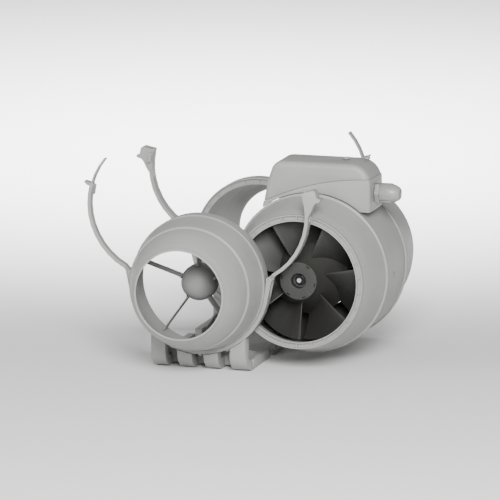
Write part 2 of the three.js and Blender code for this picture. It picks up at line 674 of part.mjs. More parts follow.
const coverScrews = [[50, boxBack - 9], [30, boxBack - 21]];
const coverHole = ([x, y]) => solid(new THREE.CylinderGeometry(1.9, 1.9, 24, 16)
  .rotateX(Math.PI / 2).translate(x, y, boxTop - 6));
place('terminal_cover', cut(boxShell.intersect(aboveSeam(fit)), boxCavity,
  ...coverScrews.map(coverHole)), greyPlastic, unit);
coverScrews.forEach(([x, y], i) => {
  const top = boxTop + fit - (x > boxRight - rightCorner ? 1.1 : 0);
  const head = new THREE.CylinderGeometry(3, 3.4, 2, 16).rotateX(Math.PI / 2)
    .translate(x, y, top + 1.4);
  const stem = new THREE.CylinderGeometry(1.5, 1.5, 12, 16).rotateX(Math.PI / 2)
    .translate(x, y, top - 5);
  place(`cover_screw_${i + 1}`, join(solid(head), solid(stem)), zinc, unit);
});
place('terminal_block', block(-8, 32, glandPlace - 7, glandPlace + 7, saddleRadius + boxWall + fit,
  boxTop - 18), blackPlastic, unit);
place('run_capacitor', turnedAlongX([[0, -34], [8, -34], [8, -12], [0, -12]],
  glandPlace, saddleRadius + boxWall + 9, 20), blackPlastic, unit);

// ---- cable gland --------------------------------------------------------------------
const face = boxRight + fit;
const gland = (outline, steps) => turnedAlongX(outline, glandPlace, glandHeight, steps);
place('gland_body', gland([[5.2, face - 10], [glandBore - fit, face - 10],
  [glandBore - fit, face], [glandRadius + 0.8, face], [glandRadius + 0.8, face + 5],
  [glandRadius - 2.4, face + 5], [glandRadius - 2.4, face + 13], [5.2, face + 13]], 18),
glandPlastic, unit);
place('gland_nut', gland([[glandRadius - 2.1, face + 5 + fit], [glandRadius, face + 5 + fit],
  [glandRadius, face + 19], [glandRadius - 2.4, face + 24.5], [glandRadius - 4.7, face + 27],
  [5, face + 27], [5, face + 24.5], [glandRadius - 2.1, face + 20]], 18), glandPlastic, unit);
place('gland_seal', gland([[3.4, face + 1], [4.9, face + 1], [4.9, face + 13 + fit],
  [glandRadius - 3, face + 13 + fit], [glandRadius - 3, face + 19], [3.4, face + 19]], 16),
rubber, unit);
const nutInside = face - boxWall - fit * 2;
const locknutHex = gland([[0, nutInside - 4.4], [12, nutInside - 4.4], [12, nutInside],
  [0, nutInside]], 6);
const locknutHole = gland([[0, nutInside - 5], [glandBore, nutInside - 5],
  [glandBore, nutInside + 1], [0, nutInside + 1]], 24);
place('gland_locknut', cut(locknutHex, locknutHole), glandPlastic, unit);

export default fan;
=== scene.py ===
"""A mixed-flow inline duct fan: the fan unit sits in its cradle."""
import math
import bmesh
import bpy
from mathutils import Matrix, Vector


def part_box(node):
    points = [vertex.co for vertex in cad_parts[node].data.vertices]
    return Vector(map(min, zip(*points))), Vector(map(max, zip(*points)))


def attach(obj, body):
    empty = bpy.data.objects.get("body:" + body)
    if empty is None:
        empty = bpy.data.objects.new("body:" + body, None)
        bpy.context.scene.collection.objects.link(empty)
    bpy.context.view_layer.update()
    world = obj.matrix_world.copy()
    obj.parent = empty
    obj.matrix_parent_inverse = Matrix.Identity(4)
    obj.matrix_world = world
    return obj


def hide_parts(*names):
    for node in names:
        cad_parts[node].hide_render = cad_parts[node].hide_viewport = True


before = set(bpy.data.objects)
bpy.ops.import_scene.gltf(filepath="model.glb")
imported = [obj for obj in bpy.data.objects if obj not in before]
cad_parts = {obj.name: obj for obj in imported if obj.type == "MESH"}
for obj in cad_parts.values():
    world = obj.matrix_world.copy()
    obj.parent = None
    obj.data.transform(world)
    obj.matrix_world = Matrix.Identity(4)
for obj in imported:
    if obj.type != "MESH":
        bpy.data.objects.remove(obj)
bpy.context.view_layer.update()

# ---- Base bracket -------------------------------------------------------------------
# One ABS moulding with J-shaped legs at both ends, two side rails and a slotted floor.
# It is screwed to a wall or floor and carries everything else.


def linear(hex_colour):
    """An sRGB hex colour as the linear red, green, blue and alpha that shaders take."""
    parts = [int(hex_colour[i:i + 2], 16) / 255 for i in (0, 2, 4)]
    return [p / 12.92 if p <= 0.04045 else ((p + 0.055) / 1.055) ** 2.4 for p in parts] + [1.0]


def add(tree, kind, settings=None, links=None):
    """A shader node with its settings, and its sockets' values or incoming links."""
    made = tree.nodes.new(kind)
    for key, value in (settings or {}).items():
        setattr(made, key, value)
    for socket, value in (links or {}).items():
        if isinstance(value, bpy.types.NodeSocket):
            tree.links.new(value, made.inputs[socket])
        else:
            made.inputs[socket].default_value = value
    return made


def per_mm(size):
    """A pattern's scale from the real size of one of its features in millimetres."""
    return 1000 / size


def moulded_plastic(name, light, dark, roughness, grain_mm, grain_depth_mm):
    """Moulded thermoplastic: a faint cloudiness, a spark-eroded grain and a painted highlight on
    its sharp edges.
    """
    material = bpy.data.materials.new(name)
    material.use_nodes = True
    tree = material.node_tree
    shader = tree.nodes["Principled BSDF"]
    place = add(tree, "ShaderNodeTexCoord").outputs["Object"]
    cloud = add(tree, "ShaderNodeTexNoise", None,
                {"Vector": place, "Scale": per_mm(45), "Detail": 3.0, "Roughness": 0.55})
    speck = add(tree, "ShaderNodeTexNoise", None,
                {"Vector": place, "Scale": per_mm(2.2), "Detail": 2.0})
    blend = add(tree, "ShaderNodeMath", {"operation": "MULTIPLY_ADD"},
                {0: speck.outputs["Fac"], 1: 0.22, 2: cloud.outputs["Fac"]})
    ramp = add(tree, "ShaderNodeValToRGB", None, {"Fac": blend.outputs[0]})
    ramp.color_ramp.elements[0].position = 0.32
    ramp.color_ramp.elements[0].color = linear(dark)
    ramp.color_ramp.elements[1].position = 0.82
    ramp.color_ramp.elements[1].color = linear(light)
    # Sharp convex edges, found by their pointiness, are screened lighter: a painted edge highlight
    # along ridges and beads.
    edges = add(tree, "ShaderNodeNewGeometry").outputs["Pointiness"]
    edge = add(tree, "ShaderNodeMapRange", None,
               {"Value": edges, "From Min": 0.53, "From Max": 0.7, "To Max": 0.1})
    painted_edge_highlight = add(tree, "ShaderNodeMix", {"data_type": "RGBA", "blend_type": "SCREEN"},
               {"Factor": edge.outputs[0], 6: ramp.outputs["Color"], 7: linear("5a5a58")})
    tree.links.new(painted_edge_highlight.outputs[2], shader.inputs["Base Color"])
    matt = add(tree, "ShaderNodeMapRange", None,
               {"Value": cloud.outputs["Fac"], "To Min": roughness - 0.06,
                "To Max": roughness + 0.08})
    tree.links.new(matt.outputs[0], shader.inputs["Roughness"])
    grain = add(tree, "ShaderNodeTexNoise", None,
                {"Vector": place, "Scale": per_mm(grain_mm), "Detail": 3.0, "Roughness": 0.6})
    bump = add(tree, "ShaderNodeBump", None,
               {"Strength": 0.55, "Distance": grain_depth_mm / 1000,
                "Height": grain.outputs["Fac"]})
    tree.links.new(bump.outputs["Normal"], shader.inputs["Normal"])
    shader.inputs["IOR"].default_value = 1.53
    return material


# Light grey ABS, moulded in a spark-eroded tool: satin, with a grain about 0.5 mm
# across that is drawn 0.9 mm wide so that it shows.
light_abs = moulded_plastic("light_grey_moulded_abs", "8e8e8c", "858583", 0.5, 0.9, 0.05)


def finish_piece(piece, material, body, slot_name, *nodes):
    """Gives a piece its finish, its CAD body and the CAD nodes that it stands for."""
    piece.data.materials.clear()
    piece.data.materials.append(material)
    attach(piece, body)
    if nodes:
        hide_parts(*nodes)


def shade(piece, sharp_degrees=32):
    """Smooth shading that keeps real corners."""
    for face in piece.data.polygons:
        face.use_smooth = True
    piece.data.set_sharp_from_angle(angle=math.radians(sharp_degrees))


def baked(piece):
    """Applies a piece's modifiers to its mesh."""
    depsgraph = bpy.context.evaluated_depsgraph_get()
    mesh = bpy.data.meshes.new_from_object(piece.evaluated_get(depsgraph))
    piece.modifiers.clear()
    piece.data = mesh
    return piece


def edge_softened(piece, width_mm, steps=2, angle=34):
    """Rounds a piece's own corners."""
    bevel = piece.modifiers.new("edges", "BEVEL")
    bevel.width = width_mm / 1000
    bevel.segments = steps
    bevel.limit_method = "ANGLE"
    bevel.angle_limit = math.radians(angle)
    return baked(piece)


def rounded_copy(name, node, edge_mm):
    """A copy of a CAD node's shape with its flat facets joined and its edges rounded."""
    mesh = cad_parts[node].data.copy()
    piece = bpy.data.objects.new(name, mesh)
    piece.matrix_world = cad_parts[node].matrix_world
    bpy.context.scene.collection.objects.link(piece)
    work = bmesh.new()
    work.from_mesh(mesh)
    bmesh.ops.remove_doubles(work, verts=work.verts, dist=1e-5)
    bmesh.ops.dissolve_limit(work, angle_limit=math.radians(0.6), verts=work.verts,
                             edges=work.edges)
    work.to_mesh(mesh)
    work.free()
    edge_softened(piece, edge_mm, 3)
    shade(piece)
    return piece


bracket = rounded_copy("bracket_moulding", "base_bracket", 0.9)
finish_piece(bracket, light_abs, "cradle", "grey_plastic", "base_bracket")

# ---- Spigots ------------------------------------------------------------------------
# Two bell-shaped ABS spigots, one at each end. A duct pushes over the mouth, and the
# flange faces the fan unit with a ribbed groove. They are screwed into the collars.


def rounded(outline, radius, steps=4):
    """A closed outline with each corner turned into a small curve."""
    count = len(outline)
    curve = []
    for i, corner in enumerate(outline):
        here = Vector(corner)
        before = Vector(outline[i - 1])
        after = Vector(outline[(i + 1) % count])
        back, ahead = before - here, after - here
        reach = min(radius, back.length * 0.42, ahead.length * 0.42)
        if here.x < 1e-6 or reach < 1e-6:
            curve.append(here)
            continue
        start = here + back.normalized() * reach
        end = here + ahead.normalized() * reach
        for k in range(steps + 1):
            t = k / steps
            curve.append(start * (1 - t) ** 2 + here * 2 * t * (1 - t) + end * t * t)
    return curve


def mesh_object(name, verts, faces):
    """A mesh object from points in millimetres, with its faces turned outwards."""
    mesh = bpy.data.meshes.new(name)
    mesh.from_pydata([[c / 1000 for c in v] for v in verts], [], faces)
    work = bmesh.new()
    work.from_mesh(mesh)
    bmesh.ops.remove_doubles(work, verts=work.verts, dist=1e-6)
    bmesh.ops.recalc_face_normals(work, faces=work.faces)
    work.to_mesh(mesh)
    work.free()
    piece = bpy.data.objects.new(name, mesh)
    bpy.context.scene.collection.objects.link(piece)
    return piece


def turned(name, outline, centre, steps=144, along="y"):
    """A piece turned from its [radius, length] outline about an axis through centre."""
    verts, faces = [], []
    count = len(outline)
    for k in range(steps):
        angle = 2 * math.pi * k / steps
        for r, length in outline:
            a, b = r * math.cos(angle), r * math.sin(angle)
            offset = (a, length, b) if along == "y" else (length, a, b)
            verts.append([offset[i] + centre[i] for i in range(3)])
    for k in range(steps):
        n = (k + 1) % steps
        for i in range(count):
            j = (i + 1) % count
            if outline[i][0] < 1e-6 and outline[j][0] < 1e-6:
                continue
            quad = [k * count + i, k * count + j, n * count + j, n * count + i]
            if outline[i][0] < 1e-6:
                quad.pop(3)
            elif outline[j][0] < 1e-6:
                quad.pop(2)
            faces.append(quad)
    return mesh_object(name, verts, faces)


def block(name, low, high, turn=None, centre=(0, 0, 0)):
    """A box from its corners in millimetres, turned about the duct axis through centre."""
    verts = [[(low, high)[(i >> k) & 1][k] for k in range(3)] for i in range(8)]
    if turn is not None:
        spin = Matrix.Rotation(-turn, 3, "Y")
        verts = [list(spin @ Vector(v)) for v in verts]
    verts = [[v[k] + centre[k] for k in range(3)] for v in verts]
    faces = [(0, 1, 3, 2), (4, 6, 7, 5), (0, 4, 5, 1), (2, 3, 7, 6), (0, 2, 6, 4), (1, 5, 7, 3)]
    return mesh_object(name, verts, faces)


def joined(main, *others):
    """Joins other pieces' meshes into the first piece."""
    work = bmesh.new()
    for piece in (main, *others):
        work.from_mesh(piece.data)
    work.to_mesh(main.data)
    work.free()
    for piece in others:
        bpy.data.objects.remove(piece)
    return main


def node_centre(node):
    """A CAD node's middle, in millimetres."""
    low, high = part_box(node)
    return [500 * (low[i] + high[i]) for i in range(3)]


def node_size(node):
    """A CAD node's size along each axis, in millimetres."""
    low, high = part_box(node)
    return [1000 * (high[i] - low[i]) for i in range(3)]


groove_ribs = 26


def rib_ring(name, inner, outer, y0, y1, thickness, centre):
    """Radial cross ribs spaced evenly in a groove."""
    ribs = [block(f"{name}_{i}", (inner, y0, -thickness / 2), (outer, y1, thickness / 2),
                  2 * math.pi * (i + 0.5) / groove_ribs, centre) for i in range(groove_ribs)]
    return joined(*ribs)


def spigot(name, node, side):
    """A spigot whose flange face is towards the middle; side is -1 at the front."""
    centre = node_centre(node)
    width, length, _ = node_size(node)
    flange = width / 2
    face = centre[1] - side * length / 2
    mouth = 49.4
    step = 49
    groove_in, groove_out, groove_depth = flange - 6, flange - 1.7, 2.4
    outline = [
        (flange - 7.5, 0), (groove_in, 0), (groove_in, groove_depth),
        (groove_out, groove_depth), (groove_out, 0), (flange, 0), (flange, 15.4),
        (flange - 1.4, 16.4), (flange - 2.6, 24), (flange - 4.2, 34), (flange - 6.6, step - 2),
        (flange - 7.2, step - 0.6), (flange - 8.9, step + 0.2), (flange - 10.1, step + 6),
        (flange - 12.6, step + 14), (flange - 16, step + 22), (flange - 19.6, step + 29),
        (mouth + 1.5, length - 3), (mouth, length), (mouth - 2.1, length),
        (mouth - 0.6, length - 5), (flange - 22.4, step + 27), (flange - 18, step + 19),
        (flange - 13.4, step + 7), (flange - 10.4, 40), (flange - 8.4, 28),
        (flange - 7.5, 17),
    ]
    turned_outline = [(r, side * s) for r, s in rounded(outline, 0.9)]
    origin = (centre[0], face, centre[2])
    body = turned(name, turned_outline, origin)
    ribs = rib_ring(name + "_ribs", groove_in - 0.3, groove_out + 0.3,
                    side * 0.5, side * (groove_depth + 0.3), 1.3, origin)
    joined(body, ribs)
    shade(body)
    finish_piece(body, light_abs, "cradle", "grey_plastic", node)


spigot("front_spigot_moulding", "front_spigot", -1)
spigot("rear_spigot_moulding", "rear_spigot", 1)

# ---- Flow straightener --------------------------------------------------------------
# A dome-nosed hub with five thin straight vanes, moulded in ABS, stands in the front
# spigot's throat. Each vane spreads into a small foot at the hub and at the wall.


def grid_solid(name, front, back):
    """A closed sheet between two grids of points that have the same rows and columns."""
    rows, columns = len(front), len(front[0])
    verts = [p for row in front for p in row] + [p for row in back for p in row]
    half = rows * columns
    faces = []
    for i in range(rows - 1):
        for j in range(columns - 1):
            a, b = i * columns + j, (i + 1) * columns + j
            faces.append((a, b, b + 1, a + 1))
            faces.append((half + a, half + a + 1, half + b + 1, half + b))
    for i in range(rows - 1):
        for j, turn in ((0, 1), (columns - 1, -1)):
            a, b = i * columns + j, (i + 1) * columns + j
            faces.append((a, half + a, half + b, b)[::turn])
    for j in range(columns - 1):
        for i, turn in ((0, -1), (rows - 1, 1)):
            a = i * columns + j
            faces.append((a, half + a, half + a + 1, a + 1)[::turn])
    return mesh_object(name, verts, faces)


def straight_vane(name, angle, inner, outer, y0, y1, thickness, centre):
    """One radial vane, thicker where it meets the hub and the wall."""
    sides = []
    for half in (-1, 1):
        rows = []
        for i in range(25):
            radius = inner + (outer - inner) * i / 24
            foot = 1.5 * math.exp(-(radius - inner) / 1.6) + 1.2 * math.exp(-(outer - radius) / 1.6)
            rows.append([(radius, half * (thickness / 2 + foot), t) for t in range(9)])
        sides.append(rows)
    grids = []
    for rows in sides:
        grid = []
        for row in rows:
            line = []
            for radius, offset, t in row:
                along = y0 + (y1 - y0) * t / 8
                narrow = 0.35 if t in (0, 8) else (0.85 if t in (1, 7) else 1)
                x = radius * math.cos(angle) - offset * narrow * math.sin(angle)
                z = radius * math.sin(angle) + offset * narrow * math.cos(angle)
                line.append((centre[0] + x, along, centre[2] + z))
            grid.append(line)
        grids.append(grid)
    return grid_solid(name, *grids)


vane_back = 1000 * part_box("flow_straightener")[1][1]
vane_count = 5
throat = node_centre("front_spigot")
hub_radius = 19.7
hub_plane = vane_back - 8
nose = [(hub_radius * math.sin(math.radians(a)), hub_plane - 18 * math.cos(math.radians(a)))
        for a in range(0, 91, 6)]
hollow = [(r * 0.9, y + 2.2) for r, y in nose]
skirt = [(hub_radius, vane_back - 0.5), (hub_radius - 0.5, vane_back),
         (hub_radius - 1.9, vane_back)]
dome = turned("straightener_hub", nose + skirt + hollow[::-1], (throat[0], 0, throat[2]), 96)
vanes = [straight_vane(f"vane_{i}", math.radians(18 + 360 / vane_count * i), hub_radius - 0.6,
                       65.2, vane_back - 16, vane_back, 1.5, throat) for i in range(vane_count)]
straightener = joined(dome, *vanes)
shade(straightener, 40)
finish_piece(straightener, light_abs, "cradle", "grey_plastic", "flow_straightener")

# ---- Clamp collars, arms and pins ---------------------------------------------------
# The fixed lower halves of two ABS clamp collars, four hinged arms and their steel pins.
# One arm of each pair ends in a slotted box head, the other in a stop plate and tongue.


def metal(name, colour, roughness, scratch_mm, depth_mm):
    """Bare or plated steel with fine turning marks and uneven gloss."""
    material = bpy.data.materials.new(name)
    material.use_nodes = True
    tree = material.node_tree
    shader = tree.nodes["Principled BSDF"]
    place = add(tree, "ShaderNodeTexCoord").outputs["Object"]
    marks = add(tree, "ShaderNodeTexNoise", None,
                {"Vector": place, "Scale": per_mm(scratch_mm), "Detail": 4.0})
    tone = add(tree, "ShaderNodeMix", {"data_type": "RGBA"},
               {"Factor": marks.outputs["Fac"], 6: linear(colour[0]), 7: linear(colour[1])})
    tree.links.new(tone.outputs[2], shader.inputs["Base Color"])
    gloss = add(tree, "ShaderNodeMapRange", None,
                {"Value": marks.outputs["Fac"], "To Min": roughness - 0.07,
                 "To Max": roughness + 0.12})
    tree.links.new(gloss.outputs[0], shader.inputs["Roughness"])
    bump = add(tree, "ShaderNodeBump", None,
               {"Strength": 0.3, "Distance": depth_mm / 1000, "Height": marks.outputs["Fac"]})
    tree.links.new(bump.outputs["Normal"], shader.inputs["Normal"])
    shader.inputs["Metallic"].default_value = 1.0
    return material


# Ground bright steel, and zinc plate with its duller, patchy grey.
bright_steel = metal("ground_bright_steel", ("d8d8d6", "c4c4c4"), 0.26, 0.8, 0.01)
zinc_plate = metal("zinc_plated_steel", ("a9aaad", "8e9094"), 0.4, 1.4, 0.02)

for end in ("front", "rear"):
    collar = rounded_copy(f"{end}_collar_moulding", f"{end}_lower_collar", 0.6)
    finish_piece(collar, light_abs, "cradle", "grey_plastic", f"{end}_lower_collar")
    for side in ("left", "right"):
        arm = rounded_copy(f"{end}_{side}_arm_moulding", f"{end}_{side}_arm", 0.6)
        finish_piece(arm, light_abs, f"{end}_{side}_clamp", "grey_plastic",
                     f"{end}_{side}_arm")
        pin = rounded_copy(f"{end}_{side}_pin", f"{end}_{side}_hinge_pin", 0.3)
        finish_piece(pin, bright_steel, "cradle", "bright_steel", f"{end}_{side}_hinge_pin")
    for number in (1, 2, 3):
        node = f"{end}_collar_screw_{number}"
        screw = rounded_copy(f"{end}_collar_pan_screw_{number}", node, 0.25)
        finish_piece(screw, zinc_plate, "cradle", "zinc_steel", node)

# ---- Fan unit casings ---------------------------------------------------------------
# Three ABS shells make the barrel. Each end shell has a rim whose groove is crossed by
# ribs, a cone and a raised ridge; the plain centre band has one rectangular slot.


def carved(piece, *cutters):
    """Cuts other closed shapes out of a piece."""
    for cutter in cutters:
        difference = piece.modifiers.new("cut", "BOOLEAN")
        difference.operation = "DIFFERENCE"
        difference.solver = "EXACT"
        difference.object = cutter
    bpy.context.view_layer.update()
    baked(piece)
    for cutter in cutters:
        bpy.data.objects.remove(cutter)
    return piece


unit_x, _, unit_z = node_centre("centre_casing")
unit_axis = (unit_x, 0, unit_z)
bulge = node_size("front_casing")[0] / 2
rim = 73.0
throat_radius = 65.7


def end_casing(name, node, side):
    """An end shell; side is -1 at the inlet, where the rim faces -y."""
    length = node_size(node)[1]
    face = node_centre(node)[1] + side * length / 2
    foot = bulge - 2.3
    groove_in, groove_out, groove_depth = throat_radius + 1.5, rim - 1.5, 2.6
    outline = [
        (throat_radius, 0), (groove_in, 0), (groove_in, groove_depth),
        (groove_out, groove_depth), (groove_out, 0), (rim, 0), (rim, 5.8), (rim + 0.5, 6.8),
        (rim + 3.6, 16), (rim + 7, length - 26), (rim + 9.4, length - 14),
        (foot - 0.2, length - 5.6), (foot + 0.2, length - 4.4), (bulge, length - 3.6),
        (bulge, length), (foot - 2.5, length), (foot - 3, length - 6),
        (rim + 5.4, length - 18), (rim + 1, length - 30), (throat_radius + 2.4, 15),
        (throat_radius + 0.5, 7),
    ]
    origin = (unit_x, face, unit_z)
    shell = turned(name, [(r, -side * u) for r, u in rounded(outline, 0.7)], origin, 160)
    ribs = rib_ring(name + "_ribs", groove_in - 0.3, groove_out + 0.3,
                    -side * 0.35, -side * (groove_depth + 0.3), 1.2, origin)
    joined(shell, ribs)
    shade(shell)
    finish_piece(shell, light_abs, "fan_unit", "grey_plastic", node)


end_casing("inlet_casing_moulding", "front_casing", -1)
end_casing("outlet_casing_moulding", "rear_casing", 1)

band_low, band_high = (1000 * corner[1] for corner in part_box("centre_casing"))
band_radius = bulge - 1.5
band = turned("centre_casing_moulding", rounded([
    (band_radius - 2.5, band_low), (band_radius, band_low), (band_radius, band_high),
    (band_radius - 2.5, band_high)], 0.5), unit_axis, 160)


def slot_cutter(radius):
    """The rectangular slot's tool, which passes through a wall at a radius."""
    middle = 1000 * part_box("front_casing")[0][1] + 84.5
    return block("slot", (radius - 7, middle - 3.5, -6), (radius + 4, middle + 3.5, 0), None,
                 unit_axis)


carved(band, slot_cutter(band_radius))
shade(band)
finish_piece(band, light_abs, "fan_unit", "grey_plastic", "centre_casing")

# ---- Impeller, shaft and ring -------------------------------------------------------
# A seven-bladed mixed-flow impeller moulded in dark glass-filled nylon, pressed on a
# bright steel shaft and kept there by a spring ring in the hub's recess.
# The nylon is nearly black and satin, with a coarse grain.
dark_nylon = moulded_plastic("dark_grey_glass_filled_nylon", "2b2b28", "242422", 0.55, 1.2, 0.04)

hub_recess = 7
inlet = 1000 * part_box("impeller")[0][1] - hub_recess
hub_disc = 20.5
blade_count = 7


def hub_radius_at(u):
    """The hub's radius at a distance from the inlet: a disc that flares backwards."""
    return hub_disc + 23.5 * max(0, (u - hub_recess - 1) / 42) ** 1.3


def tip_radius_at(u):
    """The blade tips' radius, just inside the casing."""
    return throat_radius - 1.4 + max(0, u - 10) * 0.2


def fan_blade(name, start, lead_root, lead_tip, trail, wrap, thickness):
    """One blade: a sheet that winds round the hub from its leading edge backwards."""
    grids = []
    for half in (-1, 1):
        grid = []
        for i in range(15):
            s = i / 14
            line = []
            for j in range(21):
                t = j / 20
                lead = lead_root + (lead_tip - lead_root) * s ** 0.8
                u = lead + (trail - lead) * t
                root, tip = hub_radius_at(u) - 0.8, tip_radius_at(u)
                radius = root + (tip - root) * s
                turn = start - math.radians(wrap + 5 * s) * t
                thick = thickness * (0.35 + 0.65 * min(1, 8 * t, 8 * (1 - t)))
                angle = turn + half * thick / 2 / radius
                line.append((unit_x + radius * math.cos(angle), inlet + u,
                             unit_z + radius * math.sin(angle)))
            grid.append(line)
        grids.append(grid)
    return grid_solid(name, *grids)


flare = [(hub_radius_at(u), u) for u in [8.6 + 2.3 * i for i in range(19)]]
hub_outline = rounded([
    (3.1, 16), (8.2, 16), (8.2, 7), (hub_disc, 7)], 0.5) + [
    Vector(p) for p in flare] + [Vector((hub_radius_at(50) - 2.4, 50))] + [
    Vector((r - 2.4, u + 2)) for r, u in flare[::-1] if u < 47] + [
    Vector((10.6, 14)), Vector((10.6, 25)), Vector((3.1, 25))]
rotor_hub = turned("impeller_moulding", [(r, inlet + u) for r, u in hub_outline],
                   unit_axis, 120)
pockets = [block(f"pocket_{i}", (hub_disc - 2.6, inlet + 5, -2), (hub_disc - 1.3, inlet + 9.5, 2),
                 math.radians(angle), unit_axis)
           for i, angle in enumerate((118, 55, -12, -70, -127, 169))]
carved(rotor_hub, *pockets)
blades = [fan_blade(f"blade_{i}", math.radians(14 + 360 / blade_count * i), 21, 9.2, 49.5, 52,
                    2.2) for i in range(blade_count)]
impeller = joined(rotor_hub, *blades)
shade(impeller, 38)
finish_piece(impeller, dark_nylon, "rotor", "dark_plastic", "impeller")

shaft_low, shaft_high = (1000 * corner[1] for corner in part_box("motor_shaft"))
shaft = turned("steel_shaft", [(0, shaft_low), (2.3, shaft_low), (3, shaft_low + 0.7),
                               (3, shaft_high - 0.7), (2.3, shaft_high), (0, shaft_high)],
               unit_axis, 48)
shade(shaft)
finish_piece(shaft, bright_steel, "rotor", "bright_steel", "motor_shaft")
# The ring is blackened spring steel.
black_steel = metal("blackened_spring_steel", ("3c3c3e", "2e2e30"), 0.45, 0.9, 0.01)
for node, material, slot_name in (("shaft_retaining_ring", black_steel, "black_steel"),
                                  ("motor_rotor", bright_steel, "bright_steel")):
    piece = rounded_copy(node + "_steel", node, 0.2)
    finish_piece(piece, material, "rotor", slot_name, node)

# ---- Guide vanes and motor ----------------------------------------------------------
# Behind the impeller a dark nylon hub holds the zinc-plated motor and its bearings.
# Nine curved vanes turn the air straight inside a ring, and a tail cone closes the hub.
motor_hub = [(40.3, 54), (42.8, 54), (43.4, 78), (43.8, 100), (42.8, 122), (38.3, 140),
             (34.4, 153), (29, 166), (22.6, 174), (16, 180), (8, 185.6), (0, 188), (0, 185.5),
             (8, 183), (14, 178), (20.6, 172), (27, 164), (32, 152), (35.3, 140), (40.3, 124)]
hub_shell = turned("motor_hub_moulding", [(r, inlet + u) for r, u in motor_hub],
                   unit_axis, 96)
shade(hub_shell, 38)
finish_piece(hub_shell, dark_nylon, "fan_unit", "dark_plastic", "motor_hub")
ring_outer = band_radius - 2.8
outer_ring = turned("guide_ring_moulding", rounded([
    (ring_outer - 2.5, inlet + 66), (ring_outer, inlet + 66), (ring_outer, inlet + 124),
    (ring_outer - 2.5, inlet + 124)], 0.7), unit_axis, 120)
carved(outer_ring, slot_cutter(ring_outer))
shade(outer_ring, 38)
finish_piece(outer_ring, dark_nylon, "fan_unit", "dark_plastic", "guide_ring")


guide_vanes = 9
guide_root, guide_tip = 44.1, ring_outer - 2.9
guide_curve = math.radians(26)


def guide_vane(name, start):
    """One stator vane, curved at its front to meet the turning air."""
    grids = []
    for half in (-1, 1):
        grid = []
        for i in range(5):
            radius = guide_root + (guide_tip - guide_root) * i / 4
            line = []
            for j in range(17):
                t = j / 16
                thick = 2 * (0.4 + 0.6 * min(1, 8 * t, 8 * (1 - t)))
                angle = start - guide_curve * (1 - t) ** 2 + half * thick / 2 / radius
                line.append((unit_x + radius * math.cos(angle), inlet + 68 + 54 * t,
                             unit_z + radius * math.sin(angle)))
            grid.append(line)
        grids.append(grid)
    return grid_solid(name, *grids)


for i in range(guide_vanes):
    vane = guide_vane(f"stator_vane_{i + 1}", math.radians(360 / guide_vanes * i))
    shade(vane, 38)
    finish_piece(vane, dark_nylon, "fan_unit", "dark_plastic", f"guide_vane_{i + 1}")
for node in ("motor_housing", "motor_end_cover", "motor_stator_core"):
    piece = rounded_copy(node + "_steel", node, 0.4)
    finish_piece(piece, zinc_plate, "fan_unit", "zinc_steel", node)
for node in ("front_bearing", "rear_bearing"):
    piece = rounded_copy(node + "_steel", node, 0.4)
    finish_piece(piece, bright_steel, "fan_unit", "bright_steel", node)

# ---- Terminal box -------------------------------------------------------------------
# An ABS box on the centre band takes the mains cable: its base is moulded to the
# barrel's curve, and a domed cover closes it along a curved seam with two screws.
box_low, box_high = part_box("terminal_box")
box_front, box_back = 1000 * box_low[1], 1000 * box_high[1]
box_right = 1000 * box_high[0] - unit_x
box_left = 1000 * box_low[0] - unit_x
box_top = 1000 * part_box("terminal_cover")[1][2] - unit_z
left_corner, right_corner = 14, 22
seam_height, seam_fall = 103.5, 0.00205


def box_outline(inset, foot):
    """The box seen along the duct: leaning left side and rounded top corners."""
    points = [(box_left + inset, foot), (box_left + inset, 70), (box_left + 2.6 + inset, 84),
              (box_left + 5 + inset, 97)]
    left = (box_left + 8.5 + left_corner, box_top - left_corner)
    right = (box_right - right_corner, box_top - right_corner)
    for a in range(165, 90, -9):
        points.append((left[0] + (left_corner - inset) * math.cos(math.radians(a)),
                       left[1] + (left_corner - inset) * math.sin(math.radians(a))))
    for a in range(90, -1, -6):
        points.append((right[0] + (right_corner - inset) * math.cos(math.radians(a)),
                       right[1] + (right_corner - inset) * math.sin(math.radians(a))))
    points.append((box_right - inset, foot))
    return points


def lofted_box(name, y0, y1, edge, foot, shrink=0):
    """The outline lofted along the duct with rounded front and back edges."""
    rows = [(y0 + edge * (1 - math.cos(math.radians(15 * k))),
             edge * (1 - math.sin(math.radians(15 * k)))) for k in range(7)]
    rows += [(y0 + y1 - y, inset) for y, inset in rows[::-1]]
    verts, faces = [], []
    for y, inset in rows:
        outline = box_outline(inset + shrink, foot)
        verts += [(unit_x + x, y, unit_z + z) for x, z in outline]
    count = len(box_outline(0, foot))
    for i in range(len(rows) - 1):
        for j in range(count):
            n = (j + 1) % count
            faces.append((i * count + j, i * count + n, (i + 1) * count + n, (i + 1) * count + j))
    faces.append(tuple(range(count))[::-1])
    faces.append(tuple((len(rows) - 1) * count + j for j in range(count)))
    return mesh_object(name, verts, faces)


def seam_tool(name, raise_mm, above):
    """A block whose lower or upper side follows the seam, which falls to the left."""
    line = [(box_right + 12, seam_height + raise_mm)]
    for i in range(33):
        run = (box_right + 60) * i / 32
        line.append((box_right - run, seam_height - seam_fall * run * run + raise_mm))
    far = 200 if above else -20
    points = [(box_right + 12, far), *line, (-60, far)]
    verts = [(unit_x + x, y, unit_z + z) for y in (box_front - 9, box_back + 9)
             for x, z in points]
    count = len(points)
    faces = [tuple(range(count)), tuple(range(count, 2 * count))[::-1]]
    faces += [(j, count + j, count + (j + 1) % count, (j + 1) % count) for j in range(count)]
    return mesh_object(name, verts, faces)


def barrel_tool(name, radius):
    """A cylinder that cuts the box's underside to the barrel."""
    return turned(name, [(0, box_front - 12), (radius, box_front - 12), (radius, box_back + 12),
                         (0, box_back + 12)], unit_axis, 160)


